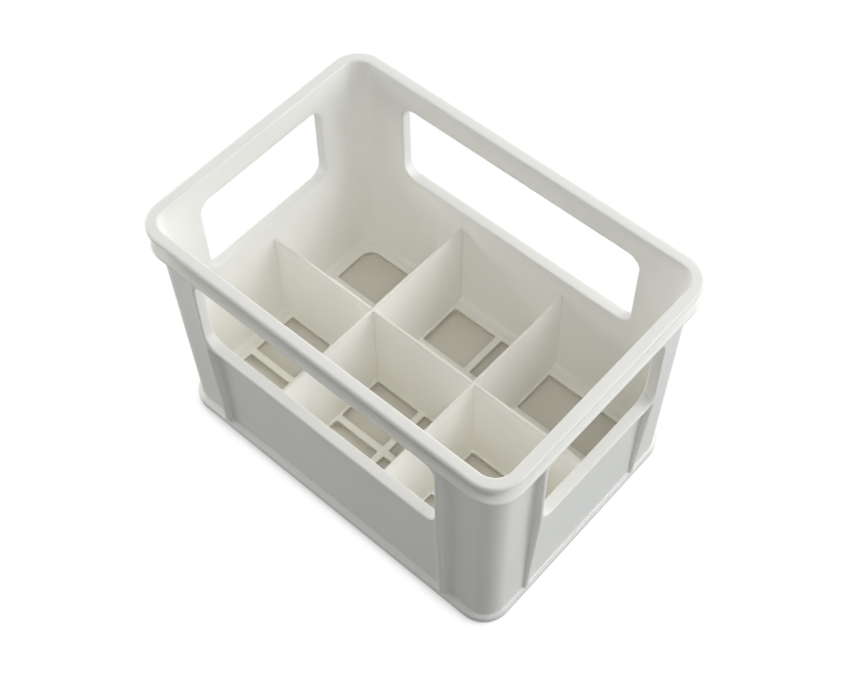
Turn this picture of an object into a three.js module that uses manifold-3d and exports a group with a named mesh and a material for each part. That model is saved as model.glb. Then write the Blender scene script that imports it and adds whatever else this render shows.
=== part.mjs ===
import * as THREE from "three";
import { mergeVertices } from "three/addons/utils/BufferGeometryUtils.js";
import Module from "manifold-3d";

// Bottle crate with a slotted insert. Millimetres, +X along the length, +Y along the width, +Z up.
// The crate stands on Z = 0 and is centred on the Z axis.

// Overall size, over the lip
const crateLength = 263.6;
const crateWidth = 181.8;
const crateHeight = 175;

// Heights of the insert
const floorTop = 5.7;
const dividerTop = 80.5;

// Cells
const cellPitchX = 80;
const cellPitchY = 77.5;
const columns = 3;
const rows = 2;

// Walls, which lean out by the draft from floor to rim
const wallDraft = 2.2;
const wallThickness = 2;
const wallCornerRadius = 13.4;

// Lip along the rim, with a groove under it
const lipProud = 5.4;
const lipThickness = 3.4;
const lipRounding = 1.5;
const lipInnerRounding = 0.8;

// Hand windows
const windowHalfX = 88;
const windowHalfY = 49.5;
const windowSill = 95.7;
const windowHeadDrop = 18.6;
const windowCornerRadius = 9;

// Collar over the windows
const collarProud = 5.2;
const collarThickness = 3;
const collarRounding = 0.9;

// Frame round each window, with ribs that run on from it down to the edge of the base flange
const frameProud = 4.6;
const frameThickness = 3;

// Base flange, set back from the lip
const flangeSetbackX = 5.7;
const flangeSetbackY = 3.5;
const flangeCornerRadius = 17.5;
const flangeRounding = 2;
const ledgeRise = 1;

// Floor grid
const floorBarWidth = 4.6;
const floorBarThickness = 3.5;
const floorBorder = 7.6;
const cornerOpeningRadius = 9;
const floorFilletRise = 5;
const floorFilletSteps = 3;

// Dividers
const dividerThickness = 2;
const fitGap = 0.3;

// Modelling
const arcSteps = 6;
const roundingSteps = 3;
const cutMargin = 1;
const plasticColour = 0xe2e1da;
const plasticRoughness = 0.45;

// Derived sizes
const wallHalfXTop = crateLength / 2 - lipProud;
const wallHalfYTop = crateWidth / 2 - lipProud;
const flangeHalfX = crateLength / 2 - flangeSetbackX;
const flangeHalfY = crateWidth / 2 - flangeSetbackY;
const windowHead = crateHeight - windowHeadDrop;
const collarTop = windowHead + collarThickness;
const wallSpan = crateHeight - floorTop;
const dividerHeight = dividerTop - floorTop;
const slotWidth = dividerThickness + 2 * fitGap;
const slotMeet = floorTop + dividerHeight / 2;
const farReach = crateLength + crateWidth;
const sides = [-1, 1];

// How far the wall's face stands inside its place at the rim, at height z
function draftAt(z) {
  return wallDraft * (crateHeight - z) / wallSpan;
}

function wallOuter(z, proud = 0) {
  return {
    halfX: wallHalfXTop - draftAt(z) + proud,
    halfY: wallHalfYTop - draftAt(z) + proud,
    radius: wallCornerRadius + proud,
    z: z,
  };
}

function wallInner(z, inset = 0) {
  return wallOuter(z, -wallThickness - inset);
}

const wasm = await Module();
wasm.setup();

function toSolid(geometry) {
  const bare = geometry.clone();
  bare.deleteAttribute("normal");
  bare.deleteAttribute("uv");
  const merged = mergeVertices(bare);
  const mesh = new wasm.Mesh({
    numProp: 3,
    vertProperties: Float32Array.from(merged.attributes.position.array),
    triVerts: Uint32Array.from(merged.index.array),
  });
  return new wasm.Manifold(mesh);
}

function toGeometry(solid) {
  const mesh = solid.getMesh();
  const geometry = new THREE.BufferGeometry();
  geometry.setAttribute("position", new THREE.BufferAttribute(Float32Array.from(mesh.vertProperties), 3));
  geometry.setIndex(new THREE.BufferAttribute(Uint32Array.from(mesh.triVerts), 1));
  geometry.computeVertexNormals();
  return geometry;
}

// Outline of a rectangle with round corners, centred at the given height on the outline's own second axis
function roundedOutline(halfX, halfY, radius, centreY = 0) {
  const shape = new THREE.Shape();
  const quarter = Math.PI / 2;
  const inX = halfX - radius;
  const inY = halfY - radius;
  shape.moveTo(inX, centreY - halfY);
  shape.absarc(inX, centreY - inY, radius, -quarter, 0, false);
  shape.absarc(inX, centreY + inY, radius, 0, quarter, false);
  shape.absarc(-inX, centreY + inY, radius, quarter, 2 * quarter, false);
  shape.absarc(-inX, centreY - inY, radius, 2 * quarter, 3 * quarter, false);
  shape.closePath();
  return shape;
}

// Block with round upright corners that goes from one outline to another
function loftedBlock(lower, upper) {
  const shape = roundedOutline(lower.halfX, lower.halfY, lower.radius);
  const depth = upper.z - lower.z;
  const geometry = new THREE.ExtrudeGeometry(shape, {
    depth: depth,
    bevelEnabled: false,
    curveSegments: arcSteps,
  });
  const points = geometry.attributes.position;
  for (let i = 0; i < points.count; i += 1) {
    if (points.getZ(i) > depth / 2) {
      const lowerX = Math.sign(points.getX(i)) * (lower.halfX - lower.radius);
      const lowerY = Math.sign(points.getY(i)) * (lower.halfY - lower.radius);
      const alongX = (points.getX(i) - lowerX) / lower.radius;
      const alongY = (points.getY(i) - lowerY) / lower.radius;
      const upperX = Math.sign(points.getX(i)) * (upper.halfX - upper.radius);
      const upperY = Math.sign(points.getY(i)) * (upper.halfY - upper.radius);
      points.setX(i, upperX + alongX * upper.radius);
      points.setY(i, upperY + alongY * upper.radius);
    }
  }
  geometry.translate(0, 0, lower.z);
  return toSolid(geometry);
}

// Flat slab with round upright corners and rounded edges
function roundedSlab(halfX, halfY, radius, bottom, top, rounding) {
  const shape = roundedOutline(halfX - rounding, halfY - rounding, radius - rounding);
  const geometry = new THREE.ExtrudeGeometry(shape, {
    depth: top - bottom - 2 * rounding,
    bevelThickness: rounding,
    bevelSize: rounding,
    bevelSegments: roundingSteps,
    curveSegments: arcSteps,
  });
  geometry.translate(0, 0, bottom + rounding);
  return toSolid(geometry);
}

function box(lowX, highX, lowY, highY, lowZ, highZ) {
  const geometry = new THREE.BoxGeometry(highX - lowX, highY - lowY, highZ - lowZ);
  geometry.translate((lowX + highX) / 2, (lowY + highY) / 2, (lowZ + highZ) / 2);
  return toSolid(geometry);
}

// Upright plate: an outline of (along, height) points, thick across the other level axis
function plate(points, thickness, acrossX) {
  const shape = new THREE.Shape(points.map((point) => new THREE.Vector2(point[0], point[1])));
  const geometry = new THREE.ExtrudeGeometry(shape, { depth: thickness, bevelEnabled: false });
  geometry.translate(0, 0, -thickness / 2);
  geometry.rotateX(Math.PI / 2);
  if (acrossX) {
    geometry.rotateZ(Math.PI / 2);
  }
  return geometry;
}

// Window block through both opposite walls, set along Y and turned to X when needed
function windowBlock(half, turned) {
  const middle = (windowSill + windowHead) / 2;
  const shape = roundedOutline(half, windowHead - middle, windowCornerRadius, middle);
  const geometry = new THREE.ExtrudeGeometry(shape, {
    depth: farReach,
    bevelEnabled: false,
    curveSegments: arcSteps,
  });
  geometry.translate(0, 0, -farReach / 2);
  geometry.rotateX(Math.PI / 2);
  if (turned) {
    geometry.rotateZ(Math.PI / 2);
  }
  return toSolid(geometry);
}

// Walls with lip, collar, window frames, ribs and the ledge over the base flange
function crateWalls() {
  const lipHalf = wallOuter(crateHeight, lipProud);
  const lipBottom = crateHeight - lipThickness;
  const collarHalf = wallOuter(windowHead, collarProud);
  const frameHalf = wallOuter(windowHead, frameProud);
  const flange = { halfX: flangeHalfX, halfY: flangeHalfY, radius: flangeCornerRadius, z: floorTop };

  let solid = loftedBlock(wallOuter(floorTop), wallOuter(crateHeight));
  solid = solid.add(roundedSlab(lipHalf.halfX, lipHalf.halfY, lipHalf.radius,
    lipBottom, crateHeight, lipRounding));
  solid = solid.add(roundedSlab(collarHalf.halfX, collarHalf.halfY, collarHalf.radius,
    windowHead, collarTop, collarRounding));
  solid = solid.add(loftedBlock(flange, wallOuter(floorTop + ledgeRise)));

  // Frame and ribs of each pair of walls
  for (const turned of [false, true]) {
    const half = turned ? windowHalfY : windowHalfX;
    const reach = turned ? frameHalf.halfX : frameHalf.halfY;
    const foot = turned ? flangeHalfX : flangeHalfY;
    const outside = half + frameThickness;
    const frameBottom = windowSill - frameThickness;
    const bandX = turned ? reach : outside;
    const bandY = turned ? outside : reach;
    solid = solid.add(box(-bandX, bandX, -bandY, bandY, frameBottom, collarTop - collarThickness / 2));
    const ribPoints = [
      [-foot, floorTop],
      [foot, floorTop],
      [reach, windowSill],
      [-reach, windowSill],
    ];
    for (const side of sides) {
      const rib = plate(ribPoints, frameThickness, !turned);
      const place = side * (half + frameThickness / 2);
      rib.translate(turned ? 0 : place, turned ? place : 0, 0);
      solid = solid.add(toSolid(rib));
    }
  }

  // Hollow with a rounded foot, then the windows
  const footTop = floorTop + floorFilletRise;
  solid = solid.subtract(loftedBlock(wallInner(footTop), wallInner(crateHeight + cutMargin)));
  for (let step = 0; step < floorFilletSteps; step += 1) {
    const lowTurn = Math.PI / 2 * step / floorFilletSteps;
    const highTurn = Math.PI / 2 * (step + 1) / floorFilletSteps;
    const lowZ = footTop - floorFilletRise * Math.cos(lowTurn);
    const highZ = footTop - floorFilletRise * Math.cos(highTurn);
    const lowInset = floorFilletRise * (1 - Math.sin(lowTurn));
    const highInset = floorFilletRise * (1 - Math.sin(highTurn));
    solid = solid.subtract(loftedBlock(wallInner(lowZ, lowInset), wallInner(highZ, highInset)));
  }
  const roundingFoot = wallInner(crateHeight - lipInnerRounding);
  const roundingHead = wallInner(crateHeight + cutMargin, -lipInnerRounding - cutMargin);
  solid = solid.subtract(loftedBlock(roundingFoot, roundingHead));
  solid = solid.subtract(windowBlock(windowHalfX, false));
  solid = solid.subtract(windowBlock(windowHalfY, true));
  return solid;
}

// Base plate with its flange and the grid of floor bars
function crateBase() {
  let solid = roundedSlab(flangeHalfX, flangeHalfY, flangeCornerRadius,
    0, floorTop + flangeRounding, flangeRounding);
  const far = farReach;
  solid = solid.subtract(box(-far, far, -far, far, floorTop, far));

  const floor = wallInner(floorTop);
  const opening = {
    halfX: floor.halfX - floorBorder,
    halfY: floor.halfY - floorBorder,
    radius: cornerOpeningRadius,
  };
  const underside = floorTop - floorBarThickness;
  solid = solid.subtract(loftedBlock({ ...opening, z: -cutMargin }, { ...opening, z: underside }));
  let holes = loftedBlock({ ...opening, z: -cutMargin }, { ...opening, z: floorTop + cutMargin });
  const barPitchX = cellPitchX / 2;
  const barPitchY = cellPitchY / 2;
  const halfBar = floorBarWidth / 2;
  // The last bar at each end stands midway between the outer divider and the edge of the grid
  const endBarX = (opening.halfX + (columns / 2 - 1) * cellPitchX) / 2;
  for (let i = 1 - columns; i < columns; i += 1) {
    const place = Math.abs(i) === columns - 1 ? Math.sign(i) * endBarX : i * barPitchX;
    holes = holes.subtract(box(place - halfBar, place + halfBar, -far, far, -far, far));
  }
  for (let j = 1 - rows; j < rows; j += 1) {
    holes = holes.subtract(box(-far, far, j * barPitchY - halfBar, j * barPitchY + halfBar, -far, far));
  }
  return solid.subtract(holes);
}

// Divider outline, clear of the leaning walls and of the rounded foot
function dividerPoints(halfAt) {
  const footTop = floorTop + floorFilletRise;
  const topEnd = halfAt(dividerTop) - fitGap;
  const footEnd = halfAt(footTop) - fitGap;
  const floorEnd = halfAt(floorTop) - floorFilletRise - fitGap;
  return [
    [-floorEnd, floorTop],
    [floorEnd, floorTop],
    [footEnd, footTop],
    [topEnd, dividerTop],
    [-topEnd, dividerTop],
    [-footEnd, footTop],
  ];
}

function longDivider() {
  let solid = toSolid(plate(dividerPoints((z) => wallInner(z).halfX), dividerThickness, false));
  const half = slotWidth / 2;
  for (let column = 1; column < columns; column += 1) {
    const place = (column - columns / 2) * cellPitchX;
    solid = solid.subtract(box(place - half, place + half, -half, half,
      slotMeet - fitGap, dividerTop + cutMargin));
  }
  return solid;
}

function crossDivider(place) {
  const blank = plate(dividerPoints((z) => wallInner(z).halfY), dividerThickness, true);
  blank.translate(place, 0, 0);
  const half = slotWidth / 2;
  return toSolid(blank).subtract(box(place - half, place + half, -half, half,
    floorTop - cutMargin, slotMeet + fitGap));
}

const crate = new THREE.Group();
crate.name = "bottle_crate";

function addPart(name, solid) {
  const material = new THREE.MeshStandardMaterial({
    color: plasticColour,
    roughness: plasticRoughness,
    metalness: 0,
  });
  const mesh = new THREE.Mesh(toGeometry(solid), material);
  mesh.name = name;
  crate.add(mesh);
}

addPart("crate_base", crateBase());
addPart("crate_walls", crateWalls());
addPart("long_divider", longDivider());
addPart("cross_divider_left", crossDivider(-cellPitchX / 2));
addPart("cross_divider_right", crossDivider(cellPitchX / 2));

export default crate;
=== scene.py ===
# %% [markdown]
# # A moulded bottle crate and its slotted insert
# The crate is one thin plastic moulding: a grid floor, leaning walls with hand windows, a collar
# and a lip. Three flat dividers stand loose in it and make the bottle cells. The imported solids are
# loaded first, as a fixed frame in metres, and every piece made below sits where those solids are.

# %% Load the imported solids
import math

import bmesh
import bpy
from mathutils import Matrix, Vector


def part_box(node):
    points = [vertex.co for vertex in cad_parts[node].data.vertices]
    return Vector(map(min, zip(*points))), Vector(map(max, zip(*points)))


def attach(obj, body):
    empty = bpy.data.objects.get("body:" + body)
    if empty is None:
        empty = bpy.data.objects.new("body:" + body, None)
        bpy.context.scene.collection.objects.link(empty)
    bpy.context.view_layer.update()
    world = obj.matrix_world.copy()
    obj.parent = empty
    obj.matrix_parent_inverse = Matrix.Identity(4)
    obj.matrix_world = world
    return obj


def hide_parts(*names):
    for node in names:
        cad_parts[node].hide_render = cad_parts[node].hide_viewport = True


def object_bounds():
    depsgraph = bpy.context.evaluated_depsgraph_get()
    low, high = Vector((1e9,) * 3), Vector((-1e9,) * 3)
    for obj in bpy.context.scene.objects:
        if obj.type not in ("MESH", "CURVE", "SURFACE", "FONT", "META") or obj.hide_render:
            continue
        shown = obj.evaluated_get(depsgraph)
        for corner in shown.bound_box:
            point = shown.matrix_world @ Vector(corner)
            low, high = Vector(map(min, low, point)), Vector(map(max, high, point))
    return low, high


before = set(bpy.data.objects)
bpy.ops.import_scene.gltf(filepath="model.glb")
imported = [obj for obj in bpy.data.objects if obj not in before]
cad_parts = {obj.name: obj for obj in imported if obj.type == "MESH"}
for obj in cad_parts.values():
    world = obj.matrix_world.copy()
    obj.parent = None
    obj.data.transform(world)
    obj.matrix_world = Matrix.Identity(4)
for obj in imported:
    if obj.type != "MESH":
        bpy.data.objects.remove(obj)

MM = 0.001
cad_low, cad_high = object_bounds()
cad_size = [round(v / MM, 1) for v in cad_high - cad_low]
print("solids:", sorted(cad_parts), "box", cad_size, "mm")

# %% [markdown]
# ## Sizes
# The same named sizes as in the solids, in millimetres. The wall leans out by a small draft, as
# any moulding does so that it leaves its mould. A helper therefore gives the wall's outline at any
# height, as half its length, half its width, its corner radius and the height.

# %% Sizes of the crate
rim_height = cad_high.z / MM
rim_half_x = cad_high.x / MM
rim_half_y = cad_high.y / MM
floor_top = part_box("crate_base")[1].z / MM
divider_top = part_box("long_divider")[1].z / MM
lip_proud = 5.4
lip_thickness = 3.4
wall_thickness = 2.0
wall_draft = 2.2
wall_corner = 13.4
window_sill, window_head = 95.7, 156.4
window_half = {"long": 88.0, "short": 49.5}
window_corner = 9.0
frame_thickness = 3.0
frame_proud = 4.6
flange = (126.1, 87.4, 17.5)
ledge_rise = 1.0
bar_pitch = (40.0, 38.75)
bar_width = 4.6
plate_thickness = 3.5
opening_half = (114.6, 73.7)
opening_corner = 9.0


def wall(height, proud=0.0):
    lean = wall_draft * (rim_height - height) / (rim_height - floor_top)
    return (rim_half_x - lip_proud - lean + proud, rim_half_y - lip_proud - lean + proud,
            wall_corner + proud, height)


def inner(height, inset=0.0):
    return wall(height, -wall_thickness - inset)


print("wall outline at the floor:", [round(v, 1) for v in wall(floor_top)])

# %% [markdown]
# ## Starting a piece and selecting on it
# Everything is modelled as by hand: a primitive is added, then shaped in edit mode. An operator
# acts on all that is selected, so one helper deselects everything, one names a new primitive and
# opens it, and one selects vertices, edges or faces by a test on their place.

# %% Helpers for starting and selecting
touch = 0.01  # mm, places closer than this are the same


def leave_edit_mode():
    if bpy.context.mode != "OBJECT":
        bpy.ops.object.mode_set(mode="OBJECT")
    bpy.ops.object.select_all(action="DESELECT")


def only(piece):
    leave_edit_mode()
    piece.select_set(True)
    bpy.context.view_layer.objects.active = piece


def open_new(name):
    piece = bpy.context.object
    piece.name = piece.data.name = name
    bpy.ops.object.mode_set(mode="EDIT")
    bpy.ops.mesh.select_all(action="SELECT")
    return piece


def select(piece, kind, test):
    bpy.ops.mesh.select_mode(type=kind)
    bpy.ops.mesh.select_all(action="DESELECT")
    mesh = bmesh.from_edit_mesh(piece.data)
    elements = {"VERT": mesh.verts, "EDGE": mesh.edges, "FACE": mesh.faces}[kind]
    elements.index_update()
    found = [e for e in elements if test(e)]
    for e in found:
        e.select_set(True)
    mesh.select_flush_mode()
    bmesh.update_edit_mesh(piece.data)
    return len(found)


# %% [markdown]
# ## Rings and skins
# A ring is a rectangle with round corners at one height. A row of rings that are bridged one by
# one is a closed skin, and that suits a moulding: each lip, groove and fillet is a few more rings.
# A quarter round is a row of heights with how far each stands out, and it starts level or upright.
# Rings at one height are set a hair apart, because bridging can't tell them from each other.

# %% Helpers for rings and skins
hair = 0.05
ring_tolerance = 0.002


def bend(steps, height, rise, proud, out, starts_level):
    rows = []
    for k in range(steps + 1):
        angle = math.radians(90 * k / steps)
        up, side = 1 - math.cos(angle), 1 - math.sin(angle)
        if not starts_level:
            up, side = side, up
        rows.append((height + rise * up, proud + out * side))
    return rows


def add_ring(half_x, half_y, radius, height, centre_y=0.0, steps=10):
    centre = (0, centre_y * MM, height * MM)
    bpy.ops.mesh.select_all(action="DESELECT")
    bpy.ops.mesh.primitive_plane_add(size=2 * MM, location=centre)
    bpy.ops.transform.resize(value=(half_x, half_y, 1), center_override=centre)
    bpy.ops.mesh.bevel(offset=radius * MM, segments=steps, profile=0.5, affect="VERTICES")


def on_ring(vertex, half_x, half_y, radius, height, centre_y=0.0):
    x, y, z = vertex.co / MM
    across = math.hypot(abs(x) - half_x + radius, abs(y - centre_y) - half_y + radius)
    return abs(z - height) < ring_tolerance and abs(across - radius) < ring_tolerance


def loft(name, rings, closed=True, steps=10):
    leave_edit_mode()
    bpy.ops.mesh.primitive_plane_add(size=1, location=(0, 0, 0))
    piece = open_new(name)
    bpy.ops.mesh.delete(type="VERT")
    for ring in rings:
        add_ring(*ring, steps=steps)
    select(piece, "FACE", lambda f: True)
    bpy.ops.mesh.delete(type="ONLY_FACE")
    pairs = list(zip(rings, rings[1:]))
    if closed:
        pairs.append((rings[-1], rings[0]))
    for one, other in pairs:
        select(piece, "VERT", lambda v: on_ring(v, *one) or on_ring(v, *other))
        bpy.ops.mesh.bridge_edge_loops()
    if not closed:
        for end in (rings[0], rings[-1]):
            select(piece, "VERT", lambda v: on_ring(v, *end))
            bpy.ops.mesh.edge_face_add()
    bpy.ops.mesh.select_all(action="SELECT")
    bpy.ops.mesh.normals_make_consistent(inside=False)
    leave_edit_mode()
    return piece


# %% [markdown]
# ## Turning, cutting and cleaning
# A piece that is modelled lying flat is turned to its place, and the turn is applied to its mesh.
# Cutting and uniting are boolean modifiers. They leave needle-thin faces, so a helper welds those
# away, and splits faces with many sides, which would make new needles when the mesh is exported.

# %% Helpers for turning, cutting and cleaning
def turn(piece, about_x=0.0, about_z=0.0, rise=0.0):
    only(piece)
    piece.rotation_euler = (math.radians(about_x), 0, math.radians(about_z))
    piece.location = (0, 0, rise * MM)
    bpy.ops.object.transform_apply(location=True, rotation=True, scale=True)


def combine(piece, other, operation):
    only(piece)
    modifier = piece.modifiers.new("combine", "BOOLEAN")
    modifier.object = other
    modifier.operation = operation
    modifier.solver = "EXACT"
    bpy.ops.object.modifier_apply(modifier=modifier.name)
    bpy.data.objects.remove(other)


def clean(piece):
    weld = 0.002 * MM
    only(piece)
    bpy.ops.object.mode_set(mode="EDIT")
    bpy.ops.mesh.select_all(action="SELECT")
    bpy.ops.mesh.remove_doubles(threshold=weld)
    bpy.ops.mesh.dissolve_degenerate(threshold=weld)
    select(piece, "FACE", lambda f: len(f.verts) > 4)
    bpy.ops.mesh.quads_convert_to_tris(quad_method="BEAUTY", ngon_method="BEAUTY")
    bpy.ops.mesh.select_all(action="SELECT")
    bpy.ops.mesh.dissolve_degenerate(threshold=weld)
    leave_edit_mode()


# %% [markdown]
# ## The wall shell
# The section of the wall, from the foot inside the floor, up the inner face, over the rim and down
# the outside past lip, groove, collar and ledge to the base flange. It could be a profile swept
# along a path, but the flange has other corners than the wall, so rings follow it better.

# %% Wall shell
fillet = 5.0
foot = floor_top + fillet
rim_round = 1.1
lip_round = 1.6
lip_low = rim_height - lip_thickness
root = 1.1
collar_low, collar_high = window_head + 0.3, window_head + 3.3
collar_proud = 5.2
collar_round = 1.2
foot_back, foot_chamfer, chamfer_corner = 0.4, 0.6, 0.5
foot_sink = 1.2
fillet_tuck = 0.1
# Inset and height of the rings round the flange's edge, from the ledge down
flange_edge = ((0.7, floor_top + 0.1), (0.25, floor_top - 0.2), (0.0, floor_top - 0.8),
               (0.0, 1.4), (0.4, 0.4), (1.4, 0.0))


def by_openings(out, corner_out, height):
    return opening_half[0] + out, opening_half[1] + out, opening_corner + corner_out, height


section = [by_openings(foot_back + foot_chamfer, foot_back + chamfer_corner, hair),
           by_openings(foot_back, foot_back, foot_chamfer),
           by_openings(foot_back, foot_back, floor_top - foot_sink),
           inner(floor_top - fillet_tuck, fillet)]
inside = bend(6, floor_top, fillet, 0.0, fillet, True)[1:]
inside += bend(4, rim_height, -rim_round, 0.0, -rim_round, False)
section += [inner(height, inset) for height, inset in inside]
outside = bend(5, rim_height - hair, -lip_round, lip_proud, -lip_round, True)
outside += bend(5, lip_low, lip_round, lip_proud, -lip_round, False)
outside += bend(4, lip_low - hair, -root, 0.0, root, True)
outside += bend(4, collar_high + hair, root, 0.0, root, False)
outside += bend(4, collar_high, -collar_round, collar_proud, -collar_round, True)
outside += bend(4, collar_low, collar_round, collar_proud, -collar_round, False)
outside += bend(4, collar_low - hair, -root, 0.0, root, True)
outside += bend(3, floor_top + ledge_rise, root, 0.0, root, False)
section += [wall(height, proud) for height, proud in outside]
section += [(flange[0] - inset, flange[1] - inset, flange[2] - inset, height)
            for inset, height in flange_edge]
shell = loft("crate_shell", section)
print("wall shell:", len(section), "rings,", len(shell.data.polygons), "faces")

# %% [markdown]
# ## Hand windows
# Each wall has a window with a proud frame round it. The hole in the shell is cut a little larger
# than the window with a long block, which goes through both opposite walls at once.

# %% Window holes
window_mid = (window_sill + window_head) / 2
window_high = (window_head - window_sill) / 2
hole_margin = 1.6
hole_reach = 200.0
all_sides = (("long", 0), ("long", 180), ("short", 90), ("short", 270))
for side, about_z in (("long", 0), ("short", 90)):
    outline = (window_half[side] + hole_margin, window_high + hole_margin,
               window_corner + hole_margin)
    hole = loft("hole_" + side, [outline + (-hole_reach,), outline + (hole_reach,)], closed=False)
    turn(hole, about_x=90, about_z=about_z, rise=window_mid)
    combine(shell, hole, "DIFFERENCE")
print("windows cut:", len(all_sides))

# %% [markdown]
# ## Window frames
# The frame is a small ring skin of its own, with rounded edges and a soft root. It fills the hole
# up to the window's true outline, which has round corners, while its outer outline is nearly
# square. Its inner end leans with the wall, and its outer edge stands upright.

# %% Window frames
lean_angle = math.atan(wall_draft / (rim_height - floor_top))
frame_back = 0.03
frame_bite = 2.2
frame_round = 1.0
frame_root = 1.6
inner_round = 0.9
head_trim = 0.45
least_corner = 0.5
corner_start = 1.8
sink = 0.8  # how deep frames and ribs reach into the wall


def window_frame(name, side):
    half = window_half[side]
    axis = 0 if side == "long" else 1
    outer_face = wall(window_mid)[1 - axis]
    inner_face = inner(window_mid)[1 - axis] + frame_back
    tip = wall(window_head)[1 - axis] + frame_proud
    round_side = [(inner_face + hair, frame_bite)]
    round_side += bend(3, inner_face, inner_round, 0.0, inner_round, True)
    round_side += bend(3, tip, -frame_round, 0.0, frame_round, False)
    square_side = bend(3, tip - hair, -frame_round, frame_thickness, -frame_round, True)
    square_side += bend(4, outer_face, frame_root, frame_thickness, frame_root, False)
    square_side.append((outer_face - sink, frame_thickness + frame_root))
    square_side.append((outer_face - sink - hair, frame_bite))
    rings = [(half + out, window_high + out, window_corner + out, depth)
             for depth, out in round_side]
    rings += [(half + out, window_high + out - head_trim, max(least_corner, out - corner_start),
               depth, -head_trim) for depth, out in square_side]
    piece = loft(name, rings, steps=8)
    only(piece)
    bpy.ops.object.mode_set(mode="EDIT")
    select(piece, "VERT", lambda v: v.co.z < (outer_face + frame_root + hair) * MM)
    bpy.ops.transform.rotate(value=-lean_angle, orient_axis="X",
                             center_override=(0, 0, outer_face * MM))
    turn(piece, about_x=90, rise=window_mid)
    return piece


frames_and_ribs = []
for side, about_z in all_sides:
    piece = window_frame("window_frame_%d" % about_z, side)
    turn(piece, about_z=about_z)
    frames_and_ribs.append(piece)
print("frames made:", len(frames_and_ribs))

# %% [markdown]
# ## Ribs under the windows
# From the ends of each sill a thin rib runs down to the base flange. It is one strip that is
# extruded away from the wall in small steps, scaled at each step: wide at the root for a moulded
# fillet, then straight, then drawn in for the rounded edge. Its lower end is then pushed back,
# because the ribs taper towards the base.

# %% Ribs
rib_low, rib_high = floor_top + 0.4, window_sill - hole_margin
rib_middle = (rib_low + rib_high) / 2
rib_flare = 0.7
rib_round = 0.9
rib_shy = 0.3


def rib(name, side, sign):
    axis = 0 if side == "long" else 1
    place = sign * (window_half[side] + frame_thickness / 2)
    low_face, high_face = wall(rib_low)[1 - axis], wall(rib_high)[1 - axis]
    low_reach = flange[1 - axis] - rib_shy - low_face
    reach = wall(window_head)[1 - axis] + frame_proud - hair - high_face
    half_width = frame_thickness / 2 - hair
    depth, width = -sink, half_width + rib_flare
    leave_edit_mode()
    bpy.ops.mesh.primitive_plane_add(size=1 * MM, location=(0, 0, 0))
    piece = open_new(name)
    bpy.ops.transform.resize(value=(2 * width, rib_high - rib_low, 1), center_override=(0, 0, 0))
    bpy.ops.transform.translate(value=(place * MM, rib_middle * MM, (high_face + depth) * MM))
    steps = bend(4, 0.0, rib_flare, half_width, rib_flare, True)
    steps += bend(3, reach, -rib_round, half_width, -rib_round, False)
    for next_depth, next_width in steps:
        step = (0, 0, (next_depth - depth) * MM)
        bpy.ops.mesh.extrude_region_move(TRANSFORM_OT_translate={"value": step})
        bpy.ops.transform.resize(value=(next_width / width, 1, 1),
                                 center_override=(place * MM, 0, 0))
        depth, width = next_depth, next_width
    select(piece, "VERT", lambda v: v.co.y < rib_middle * MM)
    bpy.ops.transform.resize(value=(1, 1, low_reach / reach),
                             center_override=(0, 0, high_face * MM))
    bpy.ops.transform.translate(value=(0, 0, (low_face - high_face) * MM))
    bpy.ops.mesh.select_all(action="SELECT")
    bpy.ops.mesh.normals_make_consistent(inside=False)
    turn(piece, about_x=90)
    return piece


for side, about_z in all_sides:
    for sign in (-1, 1):
        piece = rib("rib_%d_%d" % (about_z, sign + 1), side, sign)
        turn(piece, about_z=about_z)
        frames_and_ribs.append(piece)
print("frames and ribs:", len(frames_and_ribs))

# %% [markdown]
# ## One moulding
# Frames and ribs are one moulding with the wall, so they are united with the shell: the plastic is
# a little translucent, and pieces that only touch would show as dark seams. Small closed pockets
# that stay inside, under the collar, come off as loose pieces and are removed.

# %% Unite the crate
for piece in frames_and_ribs:
    combine(shell, piece, "UNION")
clean(shell)
only(shell)
bpy.ops.mesh.separate(type="LOOSE")
loose = sorted(bpy.context.selected_objects, key=lambda piece: len(piece.data.vertices))
shell = loose.pop()
for pocket in loose:
    bpy.data.objects.remove(pocket)
shell.name = shell.data.name = "crate_shell"
print("frames and ribs united with the shell:", len(shell.data.polygons), "faces")

# %% [markdown]
# ## The grid floor
# A flat plate with rows of openings. A plane is cut by bisecting it along both edges of every bar,
# the faces of the openings are deleted, and what is left gets its thickness. The last bar at each
# end stands midway between the outer divider and the edge of the grid.

# %% Grid floor
plate_bite = 1.0
half_bar = bar_width / 2
end_bar = (opening_half[0] + bar_pitch[0]) / 2
bar_lines_x = [-end_bar, -bar_pitch[0], 0.0, bar_pitch[0], end_bar]
bar_lines_y = [-bar_pitch[1], 0.0, bar_pitch[1]]
edge_x, edge_y, edge_corner, _ = inner(floor_top, -plate_bite)
leave_edit_mode()
bpy.ops.mesh.primitive_plane_add(size=2 * MM, location=(0, 0, 0))
plate = open_new("floor_grid")
bpy.ops.transform.resize(value=(edge_x, edge_y, 1), center_override=(0, 0, 0))
bpy.ops.transform.translate(value=(0, 0, floor_top * MM))
bpy.ops.mesh.bevel(offset=edge_corner * MM, segments=8, profile=0.5, affect="VERTICES")
both = (-1, 1)
cuts = [(axis, s * opening_half[axis]) for axis in (0, 1) for s in both]
cuts += [(0, line + s * half_bar) for line in bar_lines_x for s in both]
cuts += [(1, line + s * half_bar) for line in bar_lines_y for s in both]
for axis, place in cuts:
    bpy.ops.mesh.select_all(action="SELECT")
    point = [0, 0, floor_top * MM]
    point[axis] = place * MM
    bpy.ops.mesh.bisect(plane_co=point, plane_no=(1 - axis, axis, 0))


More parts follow.
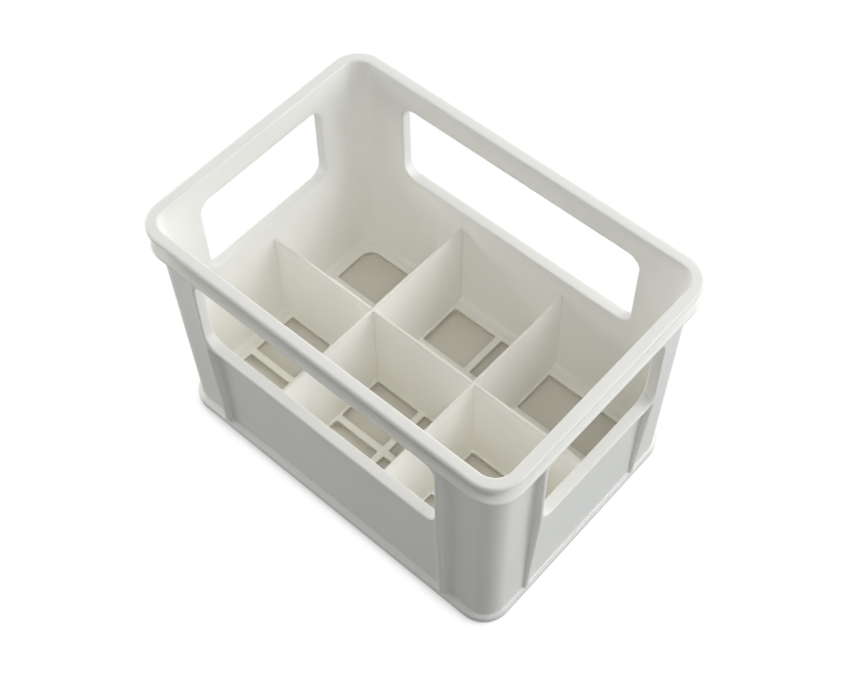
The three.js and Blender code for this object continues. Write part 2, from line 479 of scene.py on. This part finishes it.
def over_opening(face):
    middle = face.calc_center_median() / MM
    if abs(middle.x) > opening_half[0] or abs(middle.y) > opening_half[1]:
        return False
    clear_x = min(abs(middle.x - line) for line in bar_lines_x) > half_bar
    clear_y = min(abs(middle.y - line) for line in bar_lines_y) > half_bar
    return clear_x and clear_y


openings = select(plate, "FACE", over_opening)
bpy.ops.mesh.delete(type="FACE")
only(plate)
thick = plate.modifiers.new("thick", "SOLIDIFY")
thick.thickness = plate_thickness * MM
thick.offset = -1
bpy.ops.object.modifier_apply(modifier=thick.name)
print("grid floor:", openings, "openings")

# %% [markdown]
# ## Rounded corners of the grid
# The four outer openings have large round corners, which follow the wall, and the others small
# ones. The upright edges are found by their place, and a last bevel rounds the edges that a hand
# would feel.

# %% Rounded corners of the grid
bar_corner = 1.2
soft_edge = 0.4
sharp_angle = math.radians(60)
least_upright = 1.0


def upright_edge(edge):
    a, b = edge.verts
    tall = abs(a.co.z - b.co.z) > least_upright * MM
    return tall and (a.co - b.co).xy.length < touch * MM


def at_outer_corner(edge):
    a = edge.verts[0].co / MM
    near_x = abs(abs(a.x) - opening_half[0]) < touch
    near_y = abs(abs(a.y) - opening_half[1]) < touch
    return upright_edge(edge) and near_x and near_y


def at_bar_corner(edge):
    a = edge.verts[0].co / MM
    inside = abs(a.x) < opening_half[0] + touch and abs(a.y) < opening_half[1] + touch
    return (upright_edge(edge) and inside and len(edge.link_faces) == 2
            and edge.calc_face_angle(0) > sharp_angle)


bpy.ops.object.mode_set(mode="EDIT")
select(plate, "EDGE", at_outer_corner)
bpy.ops.mesh.bevel(offset=opening_corner * MM, segments=8, profile=0.5, affect="EDGES")
corners = select(plate, "EDGE", at_bar_corner)
bpy.ops.mesh.bevel(offset=bar_corner * MM, segments=3, profile=0.5, affect="EDGES")
only(plate)
soft = plate.modifiers.new("soft edges", "BEVEL")
soft.width = soft_edge * MM
soft.segments = 3
soft.limit_method = "ANGLE"
soft.angle_limit = sharp_angle
bpy.ops.object.modifier_apply(modifier=soft.name)
clean(plate)
print("grid floor:", corners, "bar corners,", len(plate.data.polygons), "faces")

# %% [markdown]
# ## The dividers
# Three flat plates, slotted half way so that they cross. Each starts as a cube that is cut to the
# outline of the solid it stands for: narrower at the foot, where the crate's floor curves up, and
# a little wider at the top, where the walls lean out. The slots are cut with a block. The real
# plates have some play, but no gap can be seen in the photograph, so the play is drawn very small.

# %% Dividers
divider_thickness = 2.0
fit_gap = 0.02
slot_half = divider_thickness / 2 + fit_gap
slot_meet = (floor_top + divider_top) / 2
slot_overshoot = 5.0
cross_places = (-bar_pitch[0], bar_pitch[0])


def block(name, low, high):
    leave_edit_mode()
    bpy.ops.mesh.primitive_cube_add(size=1 * MM, location=(0, 0, 0))
    piece = open_new(name)
    bpy.ops.transform.resize(value=[b - a for a, b in zip(low, high)], center_override=(0, 0, 0))
    bpy.ops.transform.translate(value=[(a + b) / 2 * MM for a, b in zip(low, high)])
    leave_edit_mode()
    return piece


def divider(name, axis, place):
    across = divider_thickness / 2
    floor_end, foot_end, top_end = [
        inner(height)[axis] - fit_gap - inset
        for height, inset in ((floor_top, fillet), (foot, 0.0), (divider_top, 0.0))]
    low = [place - across, place - across, floor_top]
    high = [place + across, place + across, divider_top]
    low[axis], high[axis] = -top_end, top_end
    piece = block(name, low, high)
    only(piece)
    bpy.ops.object.mode_set(mode="EDIT")
    bpy.ops.mesh.select_all(action="SELECT")
    bpy.ops.mesh.bisect(plane_co=(0, 0, foot * MM), plane_no=(0, 0, 1))
    for height, end in ((foot, foot_end), (floor_top, floor_end)):
        select(piece, "VERT", lambda v: abs(v.co.z - height * MM) < touch * MM)
        scale = [1, 1, 1]
        scale[axis] = end / top_end
        bpy.ops.transform.resize(value=scale, center_override=(0, 0, 0))
    leave_edit_mode()
    return piece


def cut_slot(piece, place, low, high):
    slot = block("slot", (place - slot_half, -slot_half, low), (place + slot_half, slot_half, high))
    combine(piece, slot, "DIFFERENCE")


long_divider = divider("long_divider_plate", 0, 0.0)
cross_dividers = []
for place in cross_places:
    cut_slot(long_divider, place, slot_meet - fit_gap, divider_top + slot_overshoot)
for name, place in zip(("left_divider_plate", "right_divider_plate"), cross_places):
    piece = divider(name, 1, place)
    cut_slot(piece, place, floor_top - slot_overshoot, slot_meet + fit_gap)
    cross_dividers.append(piece)
print("dividers slotted:", 1 + len(cross_dividers))

# %% [markdown]
# ## Top edges of the dividers
# Only the top edges of the plates show, so only they are rounded, with a small bevel along each
# plate. A bevel modifier would round the slots and the ends too, and open gaps where plates meet.

# %% Rounded top edges of the dividers
top_round = 0.5


def along_top(edge, axis):
    a, b = edge.verts
    high = min(a.co.z, b.co.z) > (divider_top - touch) * MM
    return high and abs(a.co[1 - axis] - b.co[1 - axis]) < touch * MM


for piece, axis in ((long_divider, 0), (cross_dividers[0], 1), (cross_dividers[1], 1)):
    only(piece)
    bpy.ops.object.mode_set(mode="EDIT")
    count = select(piece, "EDGE", lambda e: along_top(e, axis))
    bpy.ops.mesh.bevel(offset=top_round * MM, segments=3, profile=0.5, affect="EDGES")
    leave_edit_mode()
    print(piece.name, count, "top edges rounded,", len(piece.data.polygons), "faces")

# %% [markdown]
# ## Colours and nodes
# Colours are written as sRGB hex values, as a colour picker shows them, and Blender reckons in
# linear light, so one function turns them. Another adds a node with its settings and its inputs,
# where an input is either a value or the socket that it is linked to.

# %% Helpers for materials
def linear(hex_colour):
    values = [int(hex_colour[k:k + 2], 16) / 255 for k in (1, 3, 5)]
    return [v / 12.92 if v <= 0.04045 else ((v + 0.055) / 1.055) ** 2.4 for v in values] + [1.0]


def add_node(tree, kind, settings=None, inputs=None):
    node = tree.nodes.new(kind)
    for key, value in (settings or {}).items():
        setattr(node, key, value)
    for key, value in (inputs or {}).items():
        if isinstance(value, bpy.types.NodeSocket):
            tree.links.new(value, node.inputs[key])
        else:
            node.inputs[key].default_value = value
    return node


print("white in linear light:", linear("#FFFFFF"))

# %% [markdown]
# ## The plastic
# Off-white polypropylene, moulded in a finely eroded tool. To the eye it is a satin, slightly warm
# white with a broad soft gloss and very faint flow marks. Light goes in a millimetre or two and
# comes out again, which softens the shading. The grain of the tool, about 0.1 mm, would be too
# fine to see here and is drawn coarser. Edges that hands and other crates rub are a touch duller
# in colour and more polished: a bevel node finds them, and rounds off the shading of every edge by
# the small radius that a mould leaves. The duller edge colour is partly wear and partly painted
# shade that tones down the highlights on the edges. On the insert only the top edges are rubbed,
# and there the height finds them; their darker colour is partly wear and partly painted shade
# against the light that falls on them from above. Faces of the crate that look up are a touch
# greyer: painted shade against the light from above. The sides of the floor openings are darker:
# painted shade.

# %% Moulded polypropylene
flow_size = 60.0
grain_size, grain_depth = 0.8, 0.05
mould_radius = 0.7
# The edge colour is partly wear and partly painted shade, which tones down the highlights on the
# edges.
wear_and_shade_turn = 0.85  # where the rounded shading has turned this far, an edge is fully worn
wear_and_shade_blend = 0.5
worn_polish = 0.1
# Below the plate's top, the sides of the floor openings are painted darker: painted shade.
opening_shade_from, opening_shade_full = floor_top - 0.4, floor_top - 1.0
FIRST, SECOND, MIXED = 6, 7, 2  # the colour sockets of a Mix node


def moulded_plastic(name, pale, deep, edge, wear_and_shade_from=None, opening_shade=None, top_shade=None):
    material = bpy.data.materials.new(name)
    material.use_nodes = True
    tree = material.node_tree
    tree.nodes.clear()
    place = add_node(tree, "ShaderNodeTexCoord").outputs["Object"]
    up = add_node(tree, "ShaderNodeSeparateXYZ", None, {"Vector": place}).outputs["Z"]
    facing = add_node(tree, "ShaderNodeNewGeometry").outputs["Normal"]
    if wear_and_shade_from is None:
        rounded = add_node(tree, "ShaderNodeBevel", {"samples": 2},
                           {"Radius": mould_radius * MM}).outputs["Normal"]
        measure = add_node(tree, "ShaderNodeVectorMath", {"operation": "DOT_PRODUCT"},
                           {0: rounded, 1: facing}).outputs["Value"]
        unmarked, full = 1.0, wear_and_shade_turn
    else:
        rounded, measure = facing, up
        unmarked, full = (wear_and_shade_from - wear_and_shade_blend) * MM, wear_and_shade_from * MM
    wear_and_shade = add_node(tree, "ShaderNodeMapRange", None,
                    {"Value": measure, "From Min": unmarked, "From Max": full}).outputs["Result"]
    flow = add_node(tree, "ShaderNodeTexNoise", None,
                    {"Vector": place, "Scale": 1 / (flow_size * MM), "Detail": 3.0,
                     "Roughness": 0.5}).outputs["Fac"]
    colour = add_node(tree, "ShaderNodeMix", {"data_type": "RGBA"},
                      {"Factor": flow, FIRST: linear(deep), SECOND: linear(pale)}).outputs[MIXED]
    marks = [(wear_and_shade, edge)]
    # The sides of the floor openings get a darker colour: painted shade.
    if opening_shade:
        below = add_node(tree, "ShaderNodeMapRange", None,
                         {"Value": up, "From Min": opening_shade_from * MM, "From Max": opening_shade_full * MM})
        marks.insert(0, (below.outputs["Result"], opening_shade))
    # Faces that look up get a greyer colour: painted shade against the light from above.
    if top_shade:
        looks_up = add_node(tree, "ShaderNodeSeparateXYZ", None, {"Vector": facing}).outputs["Z"]
        top_shade_share = add_node(tree, "ShaderNodeMapRange", None,
                           {"Value": looks_up, "From Min": 0.5, "From Max": 0.95})
        marks.insert(0, (top_shade_share.outputs["Result"], top_shade))
    # Each mark mixes in a colour: the edge colour is partly wear and partly painted shade, and the
    # colours for faces that look up and for the sides of the openings are painted shade.
    for share, tone in marks:
        colour = add_node(tree, "ShaderNodeMix", {"data_type": "RGBA"},
                          {"Factor": share, FIRST: colour, SECOND: linear(tone)}).outputs[MIXED]
    grain = add_node(tree, "ShaderNodeTexNoise", None,
                     {"Vector": place, "Scale": 1 / (grain_size * MM), "Detail": 2.0,
                      "Roughness": 0.6})
    bump = add_node(tree, "ShaderNodeBump", None,
                    {"Height": grain.outputs["Fac"], "Strength": 0.25,
                     "Distance": grain_depth * MM, "Normal": rounded})
    gloss = add_node(tree, "ShaderNodeMapRange", None,
                     {"Value": flow, "From Min": 0.3, "From Max": 0.7,
                      "To Min": 0.4, "To Max": 0.52})
    polish = add_node(tree, "ShaderNodeMath", {"operation": "MULTIPLY_ADD"},
                      {0: wear_and_shade, 1: -worn_polish, 2: gloss.outputs["Result"]})
    shader = add_node(tree, "ShaderNodeBsdfPrincipled", None,
                      {"Base Color": colour, "Roughness": polish.outputs["Value"],
                       "Normal": bump.outputs["Normal"], "IOR": 1.49, "Subsurface Weight": 0.5,
                       "Subsurface Radius": (1.0, 0.97, 0.9), "Subsurface Scale": 1.5 * MM})
    output = add_node(tree, "ShaderNodeOutputMaterial")
    tree.links.new(shader.outputs["BSDF"], output.inputs["Surface"])
    return material


# Crate: faces that look up get painted shade, and the edge colour is partly wear and partly painted
# shade.
crate_plastic = moulded_plastic("moulded polypropylene", "#FCFBF6", "#FAF9F4", "#EEEDE7",
                                top_shade="#F1F0EB")
# Floor plate: a darker copy of the plastic, painted shade for a plate that catches the light from
# above, and painted shade on the sides of its openings.
floor_plastic = moulded_plastic("moulded polypropylene, floor", "#F8F7F0", "#F6F5ED", "#EEEDE7",
                                opening_shade="#C6C2B4")
# Insert: a slightly lighter copy of the plastic, painted light that stands in for light bouncing
# inside the cells; its top edges are partly wear and partly painted shade.
insert_plastic = moulded_plastic("moulded polypropylene, insert", "#FEFDF7", "#FCFBF4", "#E8E6DC",
                                 wear_and_shade_from=divider_top - top_round)
print("plastics:", [m.name for m in (crate_plastic, floor_plastic, insert_plastic)])

# %% [markdown]
# ## Finishing the pieces
# Each piece is shaded smooth except at its sharp edges, and weighted normals keep its large faces
# flat to the eye. It then gets its plastic, rides on its body, and takes the place of its solid.

# %% Finish the pieces
def finish_piece(piece, body, material):
    only(piece)
    bpy.ops.object.shade_smooth_by_angle(angle=math.radians(38))
    weighted = piece.modifiers.new("even normals", "WEIGHTED_NORMAL")
    weighted.keep_sharp = True
    weighted.weight = 60
    bpy.ops.object.modifier_apply(modifier=weighted.name)
    piece.data.materials.clear()
    piece.data.materials.append(material)
    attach(piece, body)
    print(piece.name, "rides on", body)


finish_piece(shell, "crate", crate_plastic)
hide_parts("crate_walls")
finish_piece(plate, "crate", floor_plastic)
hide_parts("crate_base")
finish_piece(long_divider, "long_divider", insert_plastic)
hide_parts("long_divider")
for piece, body in zip(cross_dividers, ("cross_divider_left", "cross_divider_right")):
    finish_piece(piece, body, insert_plastic)
    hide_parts(body)

# %% [markdown]
# ## Floor
# The photograph's floor was cleaned to plain white, with only a narrow dark line along the front
# of the base. The floor therefore glows by itself and is shaded close to the crate, on every side
# but the right, where the light washes the shade out: an ambient occlusion node leans towards the
# crate on each of those sides. The floor throws no light on the crate. A pale grey card under the
# crate closes the grid from below, as a table does; its grey is painted shade for the floor under
# the crate, seen through the openings.

# %% Floor
floor_half = 6.0  # m
card_margin = 2.0
shade_reach = 16.0
shade_lean, shade_up = 0.85, 0.5


def floor_sheet(name, half_x, half_y, rise, colour):
    leave_edit_mode()
    bpy.ops.mesh.primitive_plane_add(size=2, location=(0, 0, rise))
    sheet = bpy.context.object
    sheet.name = name
    sheet.scale = (half_x, half_y, 1)
    bpy.ops.object.transform_apply(location=True, rotation=True, scale=True)
    material = bpy.data.materials.new(name)
    material.use_nodes = True
    shader = material.node_tree.nodes["Principled BSDF"]
    shader.inputs["Base Color"].default_value = linear(colour)
    shader.inputs["Roughness"].default_value = 0.9
    sheet.data.materials.append(material)
    return sheet


card_half = [(half + card_margin) * MM for half in opening_half]
# The card's grey is painted shade for the floor under the crate.
floor_sheet("grey card under the crate, painted shade", *card_half, hair * MM, "#D9D6CC")
ground = floor_sheet("white lit floor", floor_half, floor_half, 0, "#000000")
ground.visible_diffuse = ground.visible_glossy = ground.visible_shadow = False
lit = ground.data.materials[0]
lit.cycles.emission_sampling = "NONE"
clear_sky = 1.0
for to_x, to_y in ((0.0, shade_lean), (shade_lean, 0.0), (0.0, -shade_lean)):
    to_crate = add_node(lit.node_tree, "ShaderNodeCombineXYZ", None,
                        {"X": to_x, "Y": to_y, "Z": shade_up})
    near = add_node(lit.node_tree, "ShaderNodeAmbientOcclusion", {"samples": 24},
                    {"Distance": shade_reach * MM, "Normal": to_crate.outputs["Vector"]})
    clear_sky = add_node(lit.node_tree, "ShaderNodeMath", {"operation": "MINIMUM"},
                         {0: clear_sky, 1: near.outputs["AO"]}).outputs["Value"]
glow = add_node(lit.node_tree, "ShaderNodeMapRange", None,
                {"Value": clear_sky, "From Min": 0.1, "From Max": 0.55, "To Min": 0.25})
shader = lit.node_tree.nodes["Principled BSDF"]
shader.inputs["Specular IOR Level"].default_value = 0.0
shader.inputs["Emission Color"].default_value = linear("#FFFFFF")
lit.node_tree.links.new(glow.outputs["Result"], shader.inputs["Emission Strength"])
print("floor", 2 * floor_half, "m wide, shaded within", shade_reach, "mm of the crate")

# %% [markdown]
# ## Light
# Plain soft light. The bounce from below is an even glow, tinted a touch green, in the lower half
# of the surroundings, so that it can be set to what the photograph shows, while the camera sees
# plain white. The softboxes stand round the crate, and the strength of each was found from renders
# with one light at a time. Inside a white crate light bounces many times, so more bounces are
# counted than usual.

# %% Surroundings
bounce_strength = 0.3
horizon = 0.05
world = bpy.data.worlds.new("studio")
bpy.context.scene.world = world
world.use_nodes = True
tree = world.node_tree
background = tree.nodes["Background"]
direction = add_node(tree, "ShaderNodeTexCoord").outputs["Generated"]
height = add_node(tree, "ShaderNodeSeparateXYZ", None, {"Vector": direction}).outputs["Z"]
bounce = add_node(tree, "ShaderNodeMapRange", None,
                  {"Value": height, "From Min": -horizon, "From Max": horizon,
                   "To Min": bounce_strength, "To Max": 0.0})
seen = add_node(tree, "ShaderNodeLightPath").outputs["Is Camera Ray"]
strength = add_node(tree, "ShaderNodeMath", {"operation": "MAXIMUM"},
                    {0: bounce.outputs["Result"], 1: seen})
tint = add_node(tree, "ShaderNodeMix", {"data_type": "RGBA"},
                {"Factor": seen, FIRST: linear("#FAFFF9"), SECOND: linear("#FFFFFF")})
tree.links.new(strength.outputs["Value"], background.inputs["Strength"])
tree.links.new(tint.outputs[MIXED], background.inputs["Color"])
print("bounce from below:", bounce_strength)

# %% Softboxes
crate_middle = (0, 0, 0.1)
cool_white = "#F8FCFF"


def soft_light(name, place, size, power, colour="#FFFFFF", aim=crate_middle):
    data = bpy.data.lights.new(name, "AREA")
    data.shape = "SQUARE"
    data.size = size
    data.energy = power
    data.color = linear(colour)[:3]
    light = bpy.data.objects.new(name, data)
    bpy.context.scene.collection.objects.link(light)
    light.location = place
    light.rotation_euler = (Vector(aim) - Vector(place)).to_track_quat("-Z", "Y").to_euler()
    light.visible_camera = False
    print(name, power, "W")


# Place and size in metres, power in watts
soft_light("left softbox", (-1.6, 0.0, 0.8), 0.9, 13.9)
soft_light("right back softbox", (1.25, 1.15, 0.75), 1.0, 10.8, cool_white)
soft_light("back softbox", (0.0, 1.6, 0.8), 0.9, 11.8)
soft_light("right softbox", (1.6, 0.0, 0.7), 1.2, 3.9, cool_white)
soft_light("back right softbox, high", (0.9, 0.9, 1.6), 1.0, 12.6)
soft_light("softbox over the camera", (0.45, -0.5, 1.7), 0.9, 4.5)
soft_light("small front left softbox", (-0.5, -0.35, 0.25), 0.3, 0.8, aim=(-0.1, -0.09, 0.06))
bpy.context.scene.view_settings.view_transform = "Standard"
bpy.context.scene.view_settings.gamma = 1.2
bpy.context.scene.cycles.max_bounces = 16
bpy.context.scene.cycles.diffuse_bounces = 12

# %% [markdown]
# ## Camera
# The camera stands where the photograph was taken from. Its place, aim and lens were worked out
# from straight edges of the crate: three angles turn it, and the lens follows from the focal
# length in pixels and the width of the picture.

# %% Camera
picture_width, focal_pixels = 853, 1466.67
sensor_width = 36.0
azimuth, elevation, roll = [math.radians(angle) for angle in (42.464, 56.098, -1.227)]
back = Vector((math.sin(azimuth) * math.cos(elevation), -math.cos(azimuth) * math.cos(elevation),
               math.sin(elevation)))
level = Vector((0, 0, 1)).cross(back).normalized()
upward = back.cross(level)
side_axis = math.cos(roll) * level + math.sin(roll) * upward
up_axis = -math.sin(roll) * level + math.cos(roll) * upward
data = bpy.data.cameras.new("camera")
camera = bpy.data.objects.new("camera", data)
bpy.context.scene.collection.objects.link(camera)
camera.matrix_world = Matrix((side_axis, up_axis, back)).transposed().to_4x4()
camera.location = (0.32785, -0.35466, 0.72349 + divider_top * MM)
data.sensor_width = sensor_width
data.lens = sensor_width * focal_pixels / picture_width
data.clip_start, data.clip_end = 0.05, 50
bpy.context.scene.camera = camera
print("camera", [round(v, 3) for v in camera.location], "lens", round(data.lens, 2))
